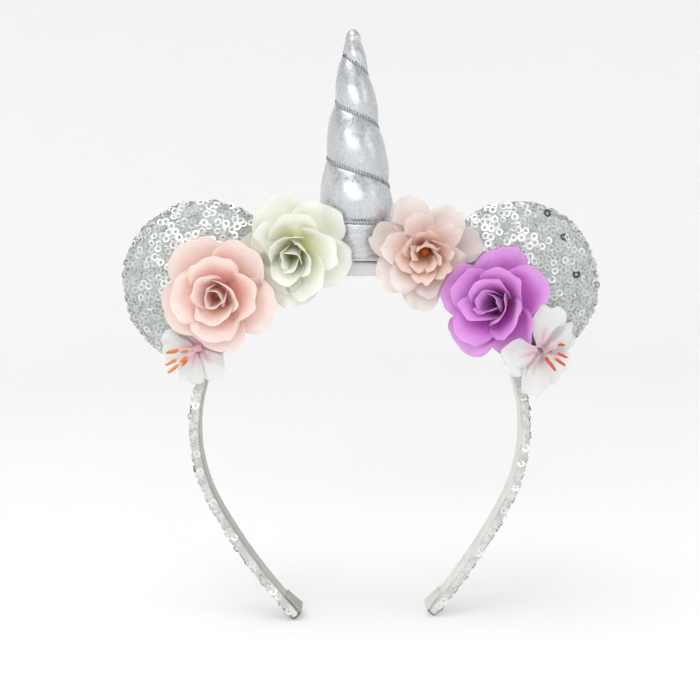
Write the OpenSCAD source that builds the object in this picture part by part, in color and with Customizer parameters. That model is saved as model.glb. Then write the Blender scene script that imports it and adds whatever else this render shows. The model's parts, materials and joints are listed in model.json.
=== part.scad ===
// Dressed alice band: a sprung band with a stuffed horn, two stuffed sequin ears and
// six fabric flowers along its front edge. Millimetres, +Z up, the wearer looks along -Y.
// The origin is the centre of the crown's circle. Most pieces are drawn flat, with x to
// the right, y up and z towards the front, and stand() turns them upright.

/* [Band] */
// Inner radius of the crown, at the face of the lining
band_r = 61.4; // [58:0.1:66]
// Width of the band, from its front edge to its back edge
band_w = 9.8; // [9:0.1:12]
// Thickness of the ribbon lining
lining_t = 0.6; // [0.4:0.1:1]
// Thickness of the sprung core
core_t = 2.2; // [2:0.1:3]
// Thickness of the sequin cover
cover_t = 0.9; // [0.7:0.1:1.4]
// Angle below the horizontal at which the crown's circle ends
crown_drop = 27.4; // [22:0.1:32]
// Outer radius of the flatter curve of a leg
leg_r = 221; // [180:1:260]
// Sweep of that flatter curve
leg_sweep = 13.8; // [12:0.1:16]
// Height of the flex points above the horizontal, as an angle
flex_angle = 18; // [15:0.5:20]

/* [Ears] */
// Radius of an ear's disc
ear_r = 31; // [28:0.5:34]
// Thickness of a stuffed ear at its middle
ear_t = 15; // [12:0.5:18]
// Distance from the origin to an ear's middle
ear_reach = 81.5; // [79:0.5:84]
// Direction of the left ear, counted from +X
left_ear_angle = 135; // [131:1:139]
// Direction of the right ear, counted from +X
right_ear_angle = 42; // [39:1:46]
// Thickness of the sequin fabric
fabric_t = 0.5; // [0.4:0.1:0.8]

/* [Horn] */
// Height of the horn's tip above the origin
horn_top = 151; // [145:1:155]
// Largest radius of the horn
horn_r = 13.4; // [12:0.1:14]
// Radius of the horn just under its tip
horn_tip_r = 3; // [2:0.1:4]
// Sideways place of the horn's axis
horn_x = 0.5; // [-2:0.5:2]
// Diameter of the twisted cord
cord_d = 1.4; // [1:0.1:1.8]

/* [Flowers] */
// Diameter of the pink rose
pink_d = 43; // [40:1:45]
// Diameter of the ivory rose
ivory_d = 41; // [38:1:42]
// Diameter of the peach flower
peach_d = 44; // [40:1:45]
// Diameter of the purple rose
purple_d = 42; // [39:1:43]
// Diameter of a blossom
blossom_d = 30; // [27:1:31]
// Thickness of a stamped fabric petal layer
petal_t = 0.7; // [0.5:0.1:0.9]
// Radius of a flower's stem
stem_r = 1.5; // [1.2:0.1:1.8]

/* [Hidden] */
$fn = 180;

// Radial layers of the band, from the lining out
core_r0 = band_r + lining_t;
core_r1 = core_r0 + core_t;
outer_r = core_r1 + cover_t;
core_w = band_w - 1.2;
front = band_w / 2;

// The leg's flatter curve, tangent to the crown's circle where it takes over
leg_shift = leg_r - outer_r;
leg_centre = [-leg_shift * cos(crown_drop), leg_shift * sin(crown_drop)];

// The flex point: a round end on the leg's core in a round seat in the crown's core
flex_r = (core_r0 + core_r1) / 2;
knuckle_r = core_t / 2 + 0.2;
seat_r = knuckle_r + 0.3;
soft_gap = 1.5; // degrees of cover and lining left open on each side of a flex point

// The ribbon's fold at a leg's tip
fold_t = 0.6;
fold_angle = 2.2;
fold_w = band_w + 0.8;

// An ear is a lens of two equal spheres
ear_sphere = (ear_r * ear_r + ear_t * ear_t / 4) / ear_t;
ear_sphere_z = ear_t / 2 - ear_sphere;
soft_clear = 0.15;

// The horn's outline: it swells from the base pad, then tapers
pad_t = 1.2;
pad_r = 11;
horn_z0 = outer_r + pad_t;
horn_base_r = 10.6;
horn_swell_z = 84;
horn_shoulder_z = horn_top - 2;
taper_power = 1.35;
horn_steps = 22;

// The cord's turns: counted from the left side near the tip, each lower and wider
cord_start = -0.25;
cord_flat = 3;
cord_end = 4.2;
cord_z0 = horn_top - 8;
cord_fall = 17;
cord_fall_growth = 1.25;
cord_flat_fall = 4.2;
cord_steps = 120;
cord_sides = 8;
cord_clear = 0.25;

// The strip that backs the flowers under the horn
strip_t = 1.2;
strip_z = 59.6;
strip_x = [-22, 24];

// A flower is [x, y, height of its foot's back, direction and angle of its lean, roll,
// petal radius, petals in a layer]
strip_face = front + strip_t;
on_ear = 4;
pink = [-50, 51.5, on_ear, 215, 8, 20, pink_d / 2, 5];
ivory = [-20.3, 63.3, front, 107, 14, 50, ivory_d / 2, 5];
peach = [25.2, 61.2, front, 68, 18, 10, peach_d / 2, 7];
purple = [52.2, 46.6, on_ear, 320, 6, 0, purple_d / 2, 5];
left_blossom = [-59, 30.9, front, 205, 30, 12, blossom_d / 2, 5];
right_blossom = [60.9, 27, front, 355, 38, 24, blossom_d / 2, 5];
foot_r = 4.5;
foot_top = 3;
bud_foot_r = 3.6;
bud_foot_top = 2.2;

// Distance of a flower's outer layer, or a blossom's only one, from the foot's back
layer_start = 6.5;
blossom_start = 5.4;

// A layer is [its radius as a share of the flower's, its distance from the outer layer,
// how far it rises from its middle to its edge]
outer_layer = [1, 0, 5];
middle_layer = [0.72, 1.4, 7];
inner_layer = [0.46, 3, 8];
blossom_rise = 4;
inner_count = 5;
inner_turn = 15;

// Shares of a layer's radius: its undivided middle, and a petal's round end
petal_heart = 0.45;
broad_petal = 0.47;
slim_petal = 0.36;
petal_reach = 0.985;
broad_count = 5;

// The bead in front of a rose's petals, and the room kept in front of a flower
bead_start = 8;
bead_r = 2 * stem_r;
room_gap = 0.5;
room_h = 40;

// A blossom's stamens, leaning outwards by one angle and the next by another
stamen_count = 9;
stamen_l = 10;
stamen_r = 0.3;
anther_r = 0.7;
stamen_leans = [22, 12];
stamen_start = [0.8, 0, 0.6];
stamen_turn = 15;
tuft_start = blossom_start + 1.2;
tuft_t = 0.8;

function flower_r(f) = f[6];

// The horn's radius at height z
function horn_at(z) =
    z < horn_swell_z
    ? horn_base_r + (horn_r - horn_base_r) * sin(90 * (z - horn_z0) / (horn_swell_z - horn_z0))
    : z <= horn_shoulder_z
    ? horn_tip_r + (horn_r - horn_tip_r)
        * (1 - pow((z - horn_swell_z) / (horn_shoulder_z - horn_swell_z), taper_power))
    : horn_tip_r * sqrt(max(0, 1 - pow((z - horn_shoulder_z) / (horn_top - horn_shoulder_z), 2)));

// The cord's height after n turns
function cord_z(n) =
    n < cord_flat
    ? cord_z0 - cord_fall * n - cord_fall_growth * n * n
    : cord_z(cord_flat - 0.001) - cord_flat_fall * (n - cord_flat);

// A point of the cord's middle line after n turns, half turns being the right side
function cord_point(n) =
    let (r = horn_at(cord_z(n)) + cord_d / 2 + cord_clear, a = 180 + 360 * n)
    [horn_x + r * cos(a), r * sin(a), cord_z(n)];

function unit(v) = v / norm(v);

// Turns a flat drawing upright: x stays, y goes up and z comes forward
module stand() {
    rotate([90, 0, 0]) children();
}

// A curved bar between two radii and two angles, w wide
module bar(r0, r1, w, from, to) {
    rotate([0, 0, from])
        rotate_extrude(angle = to - from)
            translate([r0, -w / 2])
                square([r1 - r0, w]);
}

// One layer of the crown, between the two flex points
module crown_layer(r0, r1, w, gap) {
    bar(r0, r1, w, flex_angle + gap, 180 - flex_angle - gap);
}

// One layer of the right leg, from the flex point to the tip
module leg_layer(r0, r1, w, gap, trim = 0) {
    bar(r0, r1, w, -crown_drop, flex_angle - gap);
    translate(leg_centre)
        bar(r0 + leg_shift, r1 + leg_shift, w, -crown_drop - leg_sweep + trim, -crown_drop);
}

module at_flex_points() {
    for (side = [0, 1])
        mirror([side, 0, 0])
            rotate([0, 0, flex_angle])
                translate([flex_r, 0, 0])
                    children();
}

// Everything inside the band's outer face, for trimming what sits on it
module band_room() {
    cylinder(r = outer_r, h = 4 * band_w, center = true);
}

module band_core_crown() {
    color("whitesmoke") stand() difference() {
        crown_layer(core_r0, core_r1, core_w, 0);
        at_flex_points() cylinder(r = seat_r, h = band_w, center = true, $fn = 48);
    }
}

module sequin_cover_crown() {
    color("silver") stand() difference() {
        crown_layer(core_r0, outer_r, band_w, soft_gap);
        crown_layer(core_r0 - 1, core_r1, core_w, -soft_gap);
    }
}

module satin_lining_crown() {
    color("gainsboro") stand() crown_layer(band_r, core_r0, band_w, soft_gap);
}

// The smooth strip on the crown's front edge: level below, round above
module backing_strip() {
    color("lightgray") stand() intersection() {
        translate([strip_x[0], strip_z, front])
            cube([strip_x[1] - strip_x[0], outer_r - strip_z + 1, strip_t]);
        band_room();
    }
}

module leg_core() {
    leg_layer(core_r0, core_r1, core_w, 0);
    rotate([0, 0, flex_angle])
        translate([flex_r, 0, 0])
            cylinder(r = knuckle_r, h = core_w, center = true, $fn = 48);
}

module leg_cover() {
    difference() {
        leg_layer(core_r0, outer_r, band_w, soft_gap);
        leg_layer(core_r0 - 1, core_r1, core_w, -soft_gap, -1);
    }
}

module leg_lining() {
    leg_layer(band_r, core_r0, band_w, soft_gap);
}

// The ribbon is brought round the tip and folded back on the inner face
module leg_tip_fold() {
    end = -crown_drop - leg_sweep;
    end_t = fold_t / leg_r * 180 / PI;
    translate(leg_centre) difference() {
        bar(band_r + leg_shift - fold_t, outer_r + leg_shift, fold_w, end - end_t, end + fold_angle);
        bar(band_r + leg_shift, outer_r + leg_shift + 1, fold_w + 1, end, end + fold_angle + 1);
    }
}

module left_leg_core() {
    color("whitesmoke") stand() mirror([1, 0, 0]) leg_core();
}

module left_leg_cover() {
    color("silver") stand() mirror([1, 0, 0]) leg_cover();
}

module left_leg_lining() {
    color("darkgray") stand() mirror([1, 0, 0]) leg_lining();
}

module left_leg_tip_fold() {
    color("darkgray") stand() mirror([1, 0, 0]) leg_tip_fold();
}

module right_leg_core() {
    color("whitesmoke") stand() leg_core();
}

module right_leg_cover() {
    color("silver") stand() leg_cover();
}

module right_leg_lining() {
    color("gainsboro") stand() leg_lining();
}

module right_leg_tip_fold() {
    color("gainsboro") stand() leg_tip_fold();
}

// The front half of an ear's lens, with its spheres shrunk by inset
module ear_half(inset) {
    intersection() {
        translate([0, 0, ear_sphere_z]) sphere(r = ear_sphere - inset, $fn = 240);
        translate([-ear_r - 1, -ear_r - 1, 0]) cube([2 * ear_r + 2, 2 * ear_r + 2, ear_t]);
    }
}

module ear_place(angle) {
    rotate([0, 0, angle]) translate([ear_reach, 0, 0]) children();
}

// One sewn panel of sequin fabric; face is 1 for the front and 0 for the back
module ear_panel(angle, face) {
    difference() {
        ear_place(angle) mirror([0, 0, 1 - face]) difference() {
            ear_half(0);
            translate([0, 0, ear_sphere_z]) sphere(r = ear_sphere - fabric_t, $fn = 240);
        }
        band_room();
    }
}

module ear_filling(angle) {
    difference() {
        ear_place(angle) intersection() {
            translate([0, 0, ear_sphere_z])
                sphere(r = ear_sphere - fabric_t - soft_clear, $fn = 240);
            translate([0, 0, -ear_sphere_z])
                sphere(r = ear_sphere - fabric_t - soft_clear, $fn = 240);
        }
        band_room();
    }
}

module left_ear_front_panel() {
    color("silver") stand() ear_panel(left_ear_angle, 1);
}

module left_ear_back_panel() {
    color("silver") stand() ear_panel(left_ear_angle, 0);
}

module left_ear_filling() {
    color("ivory") stand() ear_filling(left_ear_angle);
}

module right_ear_front_panel() {
    color("silver") stand() ear_panel(right_ear_angle, 1);
}

module right_ear_back_panel() {
    color("silver") stand() ear_panel(right_ear_angle, 0);
}

module right_ear_filling() {
    color("ivory") stand() ear_filling(right_ear_angle);
}

// A felt disc with a saddle underneath that sits on the crown
module horn_base_pad() {
    color("gainsboro") difference() {
        translate([horn_x, 0, outer_r - 2]) cylinder(r = pad_r, h = pad_t + 2, $fn = 96);
        stand() band_room();
    }
}

module horn_solid(inset) {
    z1 = horn_top - inset;
    zs = [for (i = [0 : horn_steps]) horn_z0 + (z1 - horn_z0) * sin(90 * i / horn_steps)];
    translate([horn_x, 0, 0])
        rotate_extrude($fn = 96)
            polygon([
                [0, horn_z0],
                for (z = zs) if (z < z1 - 0.01) [max(horn_at(z) - inset, 0.2), z],
                [0, z1]
            ]);
}

module horn_skin() {
    color("lightsteelblue") difference() {
        horn_solid(0);
        translate([0, 0, -0.01]) horn_solid(fabric_t);
    }
}

module horn_filling() {
    color("ivory") horn_solid(fabric_t + soft_clear);
}

// A round tube swept along the cord's turns
module horn_cord() {
    step = (cord_end - cord_start) / cord_steps;
    ring = [for (k = [0 : cord_sides - 1]) 360 * k / cord_sides];
    points = [
        for (i = [0 : cord_steps])
            let (
                n = cord_start + i * step,
                p = cord_point(n),
                ahead = unit(cord_point(n + step / 2) - cord_point(n - step / 2)),
                side = unit(cross(ahead, [0, 0, 1])),
                up = cross(side, ahead)
            )
            for (a = ring) p + cord_d / 2 * (cos(a) * side + sin(a) * up)
    ];
    walls = [
        for (i = [0 : cord_steps - 1], k = [0 : cord_sides - 1])
            let (j = (k + 1) % cord_sides, a = i * cord_sides, b = a + cord_sides)
            each [[a + k, b + k, b + j], [a + k, b + j, a + j]]
    ];
    last = cord_steps * cord_sides;
    ends = [
        [for (k = [0 : cord_sides - 1]) k],
        [for (k = [cord_sides - 1 : -1 : 0]) last + k]
    ];
    color("lightgray") polyhedron(points, concat(walls, ends));
}

// Puts a flower's own frame, with z along its stem, at its foot
module flower_place(f) {
    translate([f[0], f[1], f[2]])
        rotate([0, 0, f[3]]) rotate([0, f[4], 0]) rotate([0, 0, f[5] - f[3]])
            children();
}

// A stamped layer of petals: a bowl of radius r that rises by depth, from height z0
module petal_layer(r, count, z0, depth, turn) {
    steps = 7;
    top = [for (i = [0 : steps]) let (s = i / steps) [s * r, z0 + depth * s * s + petal_t]];
    under = [for (i = [steps : -1 : 0]) let (s = i / steps) [s * r, z0 + depth * s * s]];
    petal = r * (count > broad_count ? slim_petal : broad_petal);
    difference() {
        intersection() {
            rotate_extrude($fn = 72) polygon(concat(top, under));
            linear_extrude(height = z0 + depth + petal_t + 1)
                union() {
                    circle(r = r * petal_heart, $fn = 48);
                    for (i = [0 : count - 1])
                        rotate([0, 0, turn + 360 * i / count])
                            translate([r * petal_reach - petal, 0])
                                circle(r = petal, $fn = 48);
                }
        }
        cylinder(r = stem_r, h = 3 * (z0 + depth), center = true, $fn = 32);
    }
}

// The space in front of a flower's outer layer, which its neighbours' petals keep out of
module flower_room(f) {
    flower_place(f)
        translate([0, 0, layer_start - room_gap])
            cylinder(r = flower_r(f) + room_gap, h = room_h, $fn = 72);
}

// The same space for a rose beside a blossom, with a flat side towards the blossom
module rose_side_room(rose, f) {
    towards = atan2(f[1] - rose[1], f[0] - rose[0]);
    reach = flower_r(rose) + 4 * room_gap;
    translate([rose[0], rose[1], rose[2] + layer_start - room_gap])
        rotate([0, 0, towards])
            translate([-reach, -2 * reach, 0])
                cube([2 * reach, 4 * reach, room_h]);
}

// A rose's layer, from its line of values above
module rose_layer(f, layer, count, turn) {
    flower_place(f)
        petal_layer(flower_r(f) * layer[0], count, layer_start + layer[1], layer[2], turn);
}

module outer_petals(f) {
    rose_layer(f, outer_layer, f[7], 0);
}

module middle_petals(f) {
    rose_layer(f, middle_layer, f[7], 180 / f[7]);
}

module inner_petals(f) {
    rose_layer(f, inner_layer, inner_count, inner_turn);
}

// The glued foot, the stem through the petal layers and the bead that keeps them on
module rose_stem(f) {
    top = layer_start + bead_start;
    translate([f[0], f[1], f[2]]) cylinder(r = foot_r, h = foot_top, $fn = 48);
    flower_place(f) {
        cylinder(r = stem_r, h = top, $fn = 32);
        translate([0, 0, top]) sphere(r = bead_r, $fn = 48);
    }
}

// A stem whose foot is trimmed to the ear it is glued to
module ear_flower_stem(f, angle) {
    difference() {
        rose_stem(f);
        ear_place(angle) translate([0, 0, ear_sphere_z]) sphere(r = ear_sphere, $fn = 240);
    }
}

// A stem whose foot is trimmed to the strip and the band it is glued to
module band_flower_stem(f) {
    difference() {
        rose_stem(f);
        translate([strip_x[0], strip_z, 0])
            cube([strip_x[1] - strip_x[0], outer_r - strip_z, strip_face]);
    }
}

module pink_rose_outer_petals() {
    color("#f6bdae") stand() outer_petals(pink);
}

module pink_rose_middle_petals() {
    color("#f9c8ba") stand() middle_petals(pink);
}

module pink_rose_inner_petals() {
    color("#f3a697") stand() inner_petals(pink);
}

module pink_rose_stem() {
    color("#f19b8b") stand() ear_flower_stem(pink, left_ear_angle);
}

module ivory_rose_outer_petals() {
    color("#eceedf") stand() difference() {
        outer_petals(ivory);
        flower_room(pink);
    }
}

module ivory_rose_middle_petals() {
    color("#e8eadb") stand() difference() {
        middle_petals(ivory);
        flower_room(pink);
    }
}

module ivory_rose_inner_petals() {
    color("#e1e4c0") stand() inner_petals(ivory);
}

module ivory_rose_stem() {
    color("#d8d89a") stand() band_flower_stem(ivory);
}

module peach_flower_outer_petals() {
    color("#e8cfc5") stand() difference() {
        outer_petals(peach);
        flower_room(purple);
    }
}

module peach_flower_middle_petals() {
    color("#efc4b4") stand() difference() {
        middle_petals(peach);
        flower_room(purple);
    }
}

module peach_flower_inner_petals() {
    color("#f2b8a4") stand() inner_petals(peach);
}

module peach_flower_stem() {
    color("#c7703a") stand() band_flower_stem(peach);
}

module purple_rose_outer_petals() {
    color("#c45cc0") stand() outer_petals(purple);
}

module purple_rose_middle_petals() {
    color("#d070d0") stand() middle_petals(purple);
}

module purple_rose_inner_petals() {
    color("#b84ab4") stand() inner_petals(purple);
}

module purple_rose_stem() {
    color("#8a1b74") stand() ear_flower_stem(purple, right_ear_angle);
}

// A blossom's single layer, tucked under the rose beside it
module blossom_petals(f, rose) {
    difference() {
        flower_place(f)
            petal_layer(flower_r(f), f[7], blossom_start, blossom_rise, 0);
        rose_side_room(rose, f);
    }
}

module blossom_stem(f) {
    translate([f[0], f[1], f[2]]) cylinder(r = bud_foot_r, h = bud_foot_top, $fn = 48);
    flower_place(f) cylinder(r = stem_r, h = tuft_start, $fn = 32);
}

// A tuft of filaments, each with its anther
module blossom_stamens(f) {
    flower_place(f) translate([0, 0, tuft_start]) {
        cylinder(r = stem_r, h = tuft_t, $fn = 32);
        for (i = [0 : stamen_count - 1])
            rotate([0, 0, 360 * i / stamen_count + stamen_turn])
                rotate([0, stamen_leans[i % 2], 0])
                    translate(stamen_start) {
                        cylinder(r = stamen_r, h = stamen_l, $fn = 16);
                        translate([0, 0, stamen_l]) sphere(r = anther_r, $fn = 16);
                    }
    }
}

module left_blossom_petals() {
    color("#f4f2f0") stand() blossom_petals(left_blossom, pink);
}

module left_blossom_stamens() {
    color("#e8914a") stand() blossom_stamens(left_blossom);
}

module left_blossom_stem() {
    color("#e8b9c4") stand() blossom_stem(left_blossom);
}

module right_blossom_petals() {
    color("#f4f2f0") stand() blossom_petals(right_blossom, purple);
}

module right_blossom_stamens() {
    color("#e05a33") stand() blossom_stamens(right_blossom);
}

module right_blossom_stem() {
    color("#8a2f40") stand() blossom_stem(right_blossom);
}

band_core_crown();
sequin_cover_crown();
satin_lining_crown();
backing_strip();
horn_base_pad();
horn_skin();
horn_filling();
horn_cord();
left_ear_front_panel();
left_ear_back_panel();
left_ear_filling();
right_ear_front_panel();
right_ear_back_panel();
right_ear_filling();
pink_rose_outer_petals();
pink_rose_middle_petals();
pink_rose_inner_petals();
pink_rose_stem();
ivory_rose_outer_petals();
ivory_rose_middle_petals();
ivory_rose_inner_petals();
ivory_rose_stem();
peach_flower_outer_petals();
peach_flower_middle_petals();
peach_flower_inner_petals();
peach_flower_stem();
purple_rose_outer_petals();
purple_rose_middle_petals();
purple_rose_inner_petals();
purple_rose_stem();
left_blossom_petals();
left_blossom_stamens();
left_blossom_stem();
right_blossom_petals();
right_blossom_stamens();
right_blossom_stem();
left_leg_core();
left_leg_cover();
left_leg_lining();
left_leg_tip_fold();
right_leg_core();
right_leg_cover();
right_leg_lining();
right_leg_tip_fold();
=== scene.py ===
import json
import math
from functools import partial

import bpy
import numpy as np
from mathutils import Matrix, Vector


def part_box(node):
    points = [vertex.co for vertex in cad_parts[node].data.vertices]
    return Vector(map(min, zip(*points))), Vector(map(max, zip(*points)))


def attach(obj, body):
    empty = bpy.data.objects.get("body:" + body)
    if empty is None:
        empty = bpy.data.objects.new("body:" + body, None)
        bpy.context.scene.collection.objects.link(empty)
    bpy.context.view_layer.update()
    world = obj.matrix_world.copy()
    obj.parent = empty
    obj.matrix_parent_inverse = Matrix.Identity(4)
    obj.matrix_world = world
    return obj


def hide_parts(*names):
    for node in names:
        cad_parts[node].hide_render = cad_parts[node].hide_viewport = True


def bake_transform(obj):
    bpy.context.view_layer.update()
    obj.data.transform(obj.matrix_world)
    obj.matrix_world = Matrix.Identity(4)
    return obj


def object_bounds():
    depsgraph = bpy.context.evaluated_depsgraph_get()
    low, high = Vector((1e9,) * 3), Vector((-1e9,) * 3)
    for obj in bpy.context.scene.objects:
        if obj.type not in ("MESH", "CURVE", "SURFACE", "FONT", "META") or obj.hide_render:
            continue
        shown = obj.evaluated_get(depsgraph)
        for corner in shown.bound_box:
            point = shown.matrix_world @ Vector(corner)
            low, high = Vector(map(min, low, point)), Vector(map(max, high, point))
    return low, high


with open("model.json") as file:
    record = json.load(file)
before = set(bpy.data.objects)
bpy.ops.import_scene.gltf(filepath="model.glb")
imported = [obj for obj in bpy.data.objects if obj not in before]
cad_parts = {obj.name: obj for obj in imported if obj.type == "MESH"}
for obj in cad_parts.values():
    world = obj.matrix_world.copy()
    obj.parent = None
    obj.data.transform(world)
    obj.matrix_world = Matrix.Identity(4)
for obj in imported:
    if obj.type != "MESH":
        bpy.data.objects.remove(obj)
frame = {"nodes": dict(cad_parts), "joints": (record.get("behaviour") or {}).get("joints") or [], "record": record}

cad_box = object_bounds()

# Every size below is in millimetres; put_points() turns it into metres.
MM = 0.001

# ---- places taken from the frame


def box_mm(node):
    low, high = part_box(node)
    return np.array(low) / MM, np.array(high) / MM


def cad_points(node):
    mesh = frame["nodes"][node].data
    return np.array([v.co for v in mesh.vertices], float) / MM


LINING_R = frame["record"]["mounts"][0]["dims"]["r_mm"]
_, BAND_HALF, COVER_R = box_mm("sequin_cover_crown")[1]
LINING_T = 0.6
FLEX = {j["child"]: np.array(j["pos_m"]) / MM for j in frame["joints"]}

# The leg leaves the crown's circle 27.4 degrees below the horizontal for a flatter curve
CROWN_DROP = math.radians(27.4)
LEG_R = 221.0
LEG_SWEEP = math.radians(13.8)
LEG_SHIFT = LEG_R - COVER_R
LEG_CENTRE = np.array([-LEG_SHIFT * math.cos(CROWN_DROP), LEG_SHIFT * math.sin(CROWN_DROP)])
CROWN_RUN = COVER_R * (math.pi / 2 + CROWN_DROP)
SIDE_RUN = CROWN_RUN + LEG_R * LEG_SWEEP
SIDES = {"left": -1, "right": 1}

# The horn and its cord
HORN_LOW, HORN_HIGH = box_mm("horn_skin")
HORN_X = (HORN_LOW[0] + HORN_HIGH[0]) / 2
HORN_R = (HORN_HIGH[0] - HORN_LOW[0]) / 2
HORN_BASE, HORN_TOP = HORN_LOW[2], HORN_HIGH[2]
HORN_BASE_R, HORN_TIP_R = 10.6, 3.0
HORN_SWELL, HORN_SHOULDER = 84.0, HORN_TOP - 4.5
HORN_TAPER = 1.35
CORD_D, CORD_LAY = 1.4, 2.2
CORD_START, CORD_FLAT, CORD_END = -0.25, 3.0, 4.2

# The ears
EAR_R = 31.0
EAR_HALF = 7.5
EAR_REACH = 81.5

# The cloth of the ears and the horn
PANEL_T = 0.45

# ---- making meshes


def deselect():
    for o in bpy.context.selected_objects:
        o.select_set(False)


def pick(obj):
    deselect()
    obj.select_set(True)
    bpy.context.view_layer.objects.active = obj
    return obj


def put_points(obj, points):
    obj.data.vertices.foreach_set("co", (np.asarray(points) * MM).astype(np.float32).ravel())
    obj.data.update()


def edit(obj, *steps):
    """Runs edit-mode operators, each a function and its settings, on all of obj."""
    pick(obj)
    bpy.ops.object.mode_set(mode="EDIT")
    bpy.ops.mesh.select_all(action="SELECT")
    for step, settings in steps:
        step(**settings)
    bpy.ops.object.mode_set(mode="OBJECT")
    return obj


def modify(obj, kind, **settings):
    """Adds a modifier and applies it at once."""
    pick(obj)
    made = obj.modifiers.new(kind.title(), kind)
    for key, value in settings.items():
        setattr(made, key, value)
    bpy.ops.object.modifier_apply(modifier=made.name)
    return obj


def smooth(obj, angle=None):
    pick(obj)
    if angle is None:
        bpy.ops.object.shade_smooth()
    else:
        bpy.ops.object.shade_smooth_by_angle(angle=math.radians(angle))
    return obj


def join(name, objects):
    deselect()
    for o in objects:
        o.select_set(True)
    made = bpy.context.view_layer.objects.active = objects[0]
    bpy.ops.object.join()
    made.name = made.data.name = name
    return made


def cloth_grid(name, across, along, shape):
    """A sheet of across by along squares. shape(u, v) gives its points: u is -1 to 1 and v is 0 to 1."""
    deselect()
    bpy.ops.mesh.primitive_grid_add(x_subdivisions=across, y_subdivisions=along, size=2)
    obj = bpy.context.object
    obj.name = name
    flat = np.array([v.co for v in obj.data.vertices], float)
    put_points(obj, shape(flat[:, 0], (flat[:, 1] + 1) / 2))
    return obj


def weld(obj):
    """Merges a sheet's meeting edges, then turns its faces outwards."""
    return edit(
        obj,
        (bpy.ops.mesh.remove_doubles, {"threshold": 1e-6}),
        (bpy.ops.mesh.normals_make_consistent, {"inside": False}),
    )


def thicken(obj, thickness, levels=0, offset=0.0):
    """Gives a sheet its thickness, in mm, and rounds it by levels of subdivision."""
    modify(obj, "SOLIDIFY", thickness=thickness * MM, offset=offset, use_rim=True)
    if levels:
        modify(obj, "SUBSURF", levels=levels, render_levels=levels)
    return smooth(obj)


def swept_tube(name, path, radius, sides):
    """A closed tube along a path. radius(i, angles) gives the outline at point i."""
    path = np.asarray(path, float)
    ahead = np.gradient(path, axis=0)
    ahead /= np.linalg.norm(ahead, axis=1)[:, None]
    across = np.cross(ahead[0], [0.3, 0.5, 0.8])
    angles = np.linspace(0, 2 * math.pi, sides, endpoint=False)
    rings = []
    for i, (p, t) in enumerate(zip(path, ahead)):
        across = across - t * (across @ t)
        across /= np.linalg.norm(across)
        other = np.cross(t, across)
        r = radius(i, angles)[:, None]
        rings.append(p + r * (np.cos(angles)[:, None] * across + np.sin(angles)[:, None] * other))
    count = len(path)
    faces = [
        (i * sides + k, i * sides + (k + 1) % sides, (i + 1) * sides + (k + 1) % sides, (i + 1) * sides + k)
        for i in range(count - 1)
        for k in range(sides)
    ]
    faces.append(tuple(range(sides - 1, -1, -1)))
    faces.append(tuple((count - 1) * sides + k for k in range(sides)))
    return mesh_of(name, np.concatenate(rings), faces)


def mesh_of(name, points, faces):
    mesh = bpy.data.meshes.new(name)
    mesh.from_pydata([tuple(p) for p in np.asarray(points) * MM], [], faces)
    mesh.update()
    obj = bpy.data.objects.new(name, mesh)
    bpy.context.scene.collection.objects.link(obj)
    return obj


def point_values(obj, name, values):
    """Keeps a number for each point, for a material to read."""
    layer = obj.data.attributes.new(name, "FLOAT", "POINT")
    layer.data.foreach_set("value", np.asarray(values, np.float32))


def paint(obj, finish):
    obj.data.materials.clear()
    obj.data.materials.append(finish)


def declare(obj, body, finish, slot, *nodes):
    """Gives a finished piece its material, hangs it under its body's empty and hides the CAD nodes that it stands
    for. A piece whose body is left or right goes from the crown down that leg; it only has its transform baked in,
    and is neither hung under a body nor bent with the leg."""
    if body in SIDES:
        bend_with_leg(obj, body)
    else:
        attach(obj, body)
    paint(obj, finish)
    if nodes:
        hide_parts(*nodes)


# ---- materials


def linear(hex_colour):
    """An sRGB hex colour as the linear RGBA that nodes take."""
    parts = [int(hex_colour[i : i + 2], 16) / 255 for i in (1, 3, 5)]
    return tuple(c / 12.92 if c <= 0.04045 else ((c + 0.055) / 1.055) ** 2.4 for c in parts) + (1.0,)


def add_node(tree, kind, out=None, inputs=None, stops=(), **settings):
    """Adds a node with its settings and links, and gives back the output called out, or the node itself.
    An input is a value, a hex colour or an output to link. A ramp's stops are pairs of a place and a tone."""
    made = tree.nodes.new("ShaderNode" + kind)
    for key, value in settings.items():
        setattr(made, key, value)
    for i, (place, tone) in enumerate(stops):
        elements = made.color_ramp.elements
        element = elements[i] if i < 2 else elements.new(place)
        element.position = place
        element.color = linear(tone) if isinstance(tone, str) else (tone, tone, tone, 1.0)
    for key, value in (inputs or {}).items():
        if isinstance(value, bpy.types.NodeSocket):
            tree.links.new(value, made.inputs[key])
        else:
            made.inputs[key].default_value = linear(value) if isinstance(value, str) else value
    return made if out is None else made.outputs[out]


def material(name, recipe, *given, **more):
    """A material from its recipe, which adds the pattern's nodes and gives back the shader's inputs, and its
    bumps: a height, its depth in mm and its strength, each laid over the one before."""
    made = bpy.data.materials.new(name)
    made.use_nodes = True
    made.node_tree.nodes.clear()
    add = partial(add_node, made.node_tree)
    look = recipe(add, add("TexCoord", "Object"), *given, **more)
    before = {}
    for height, depth, strength in look.pop("bumps", []):
        bump = {"Height": height, "Distance": depth * MM, "Strength": strength, **before}
        before = {"Normal": add("Bump", "Normal", bump)}
    shader = add("BsdfPrincipled", "BSDF", {**look, **before})
    add("OutputMaterial", None, {"Surface": shader})
    return made


def per_mm(size):
    """The scale that gives a pattern cells of this many millimetres."""
    return 1000.0 / size


# The sockets of a Mix node that mixes colours
MIX_A, MIX_B, MIXED = 6, 7, 2


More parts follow.
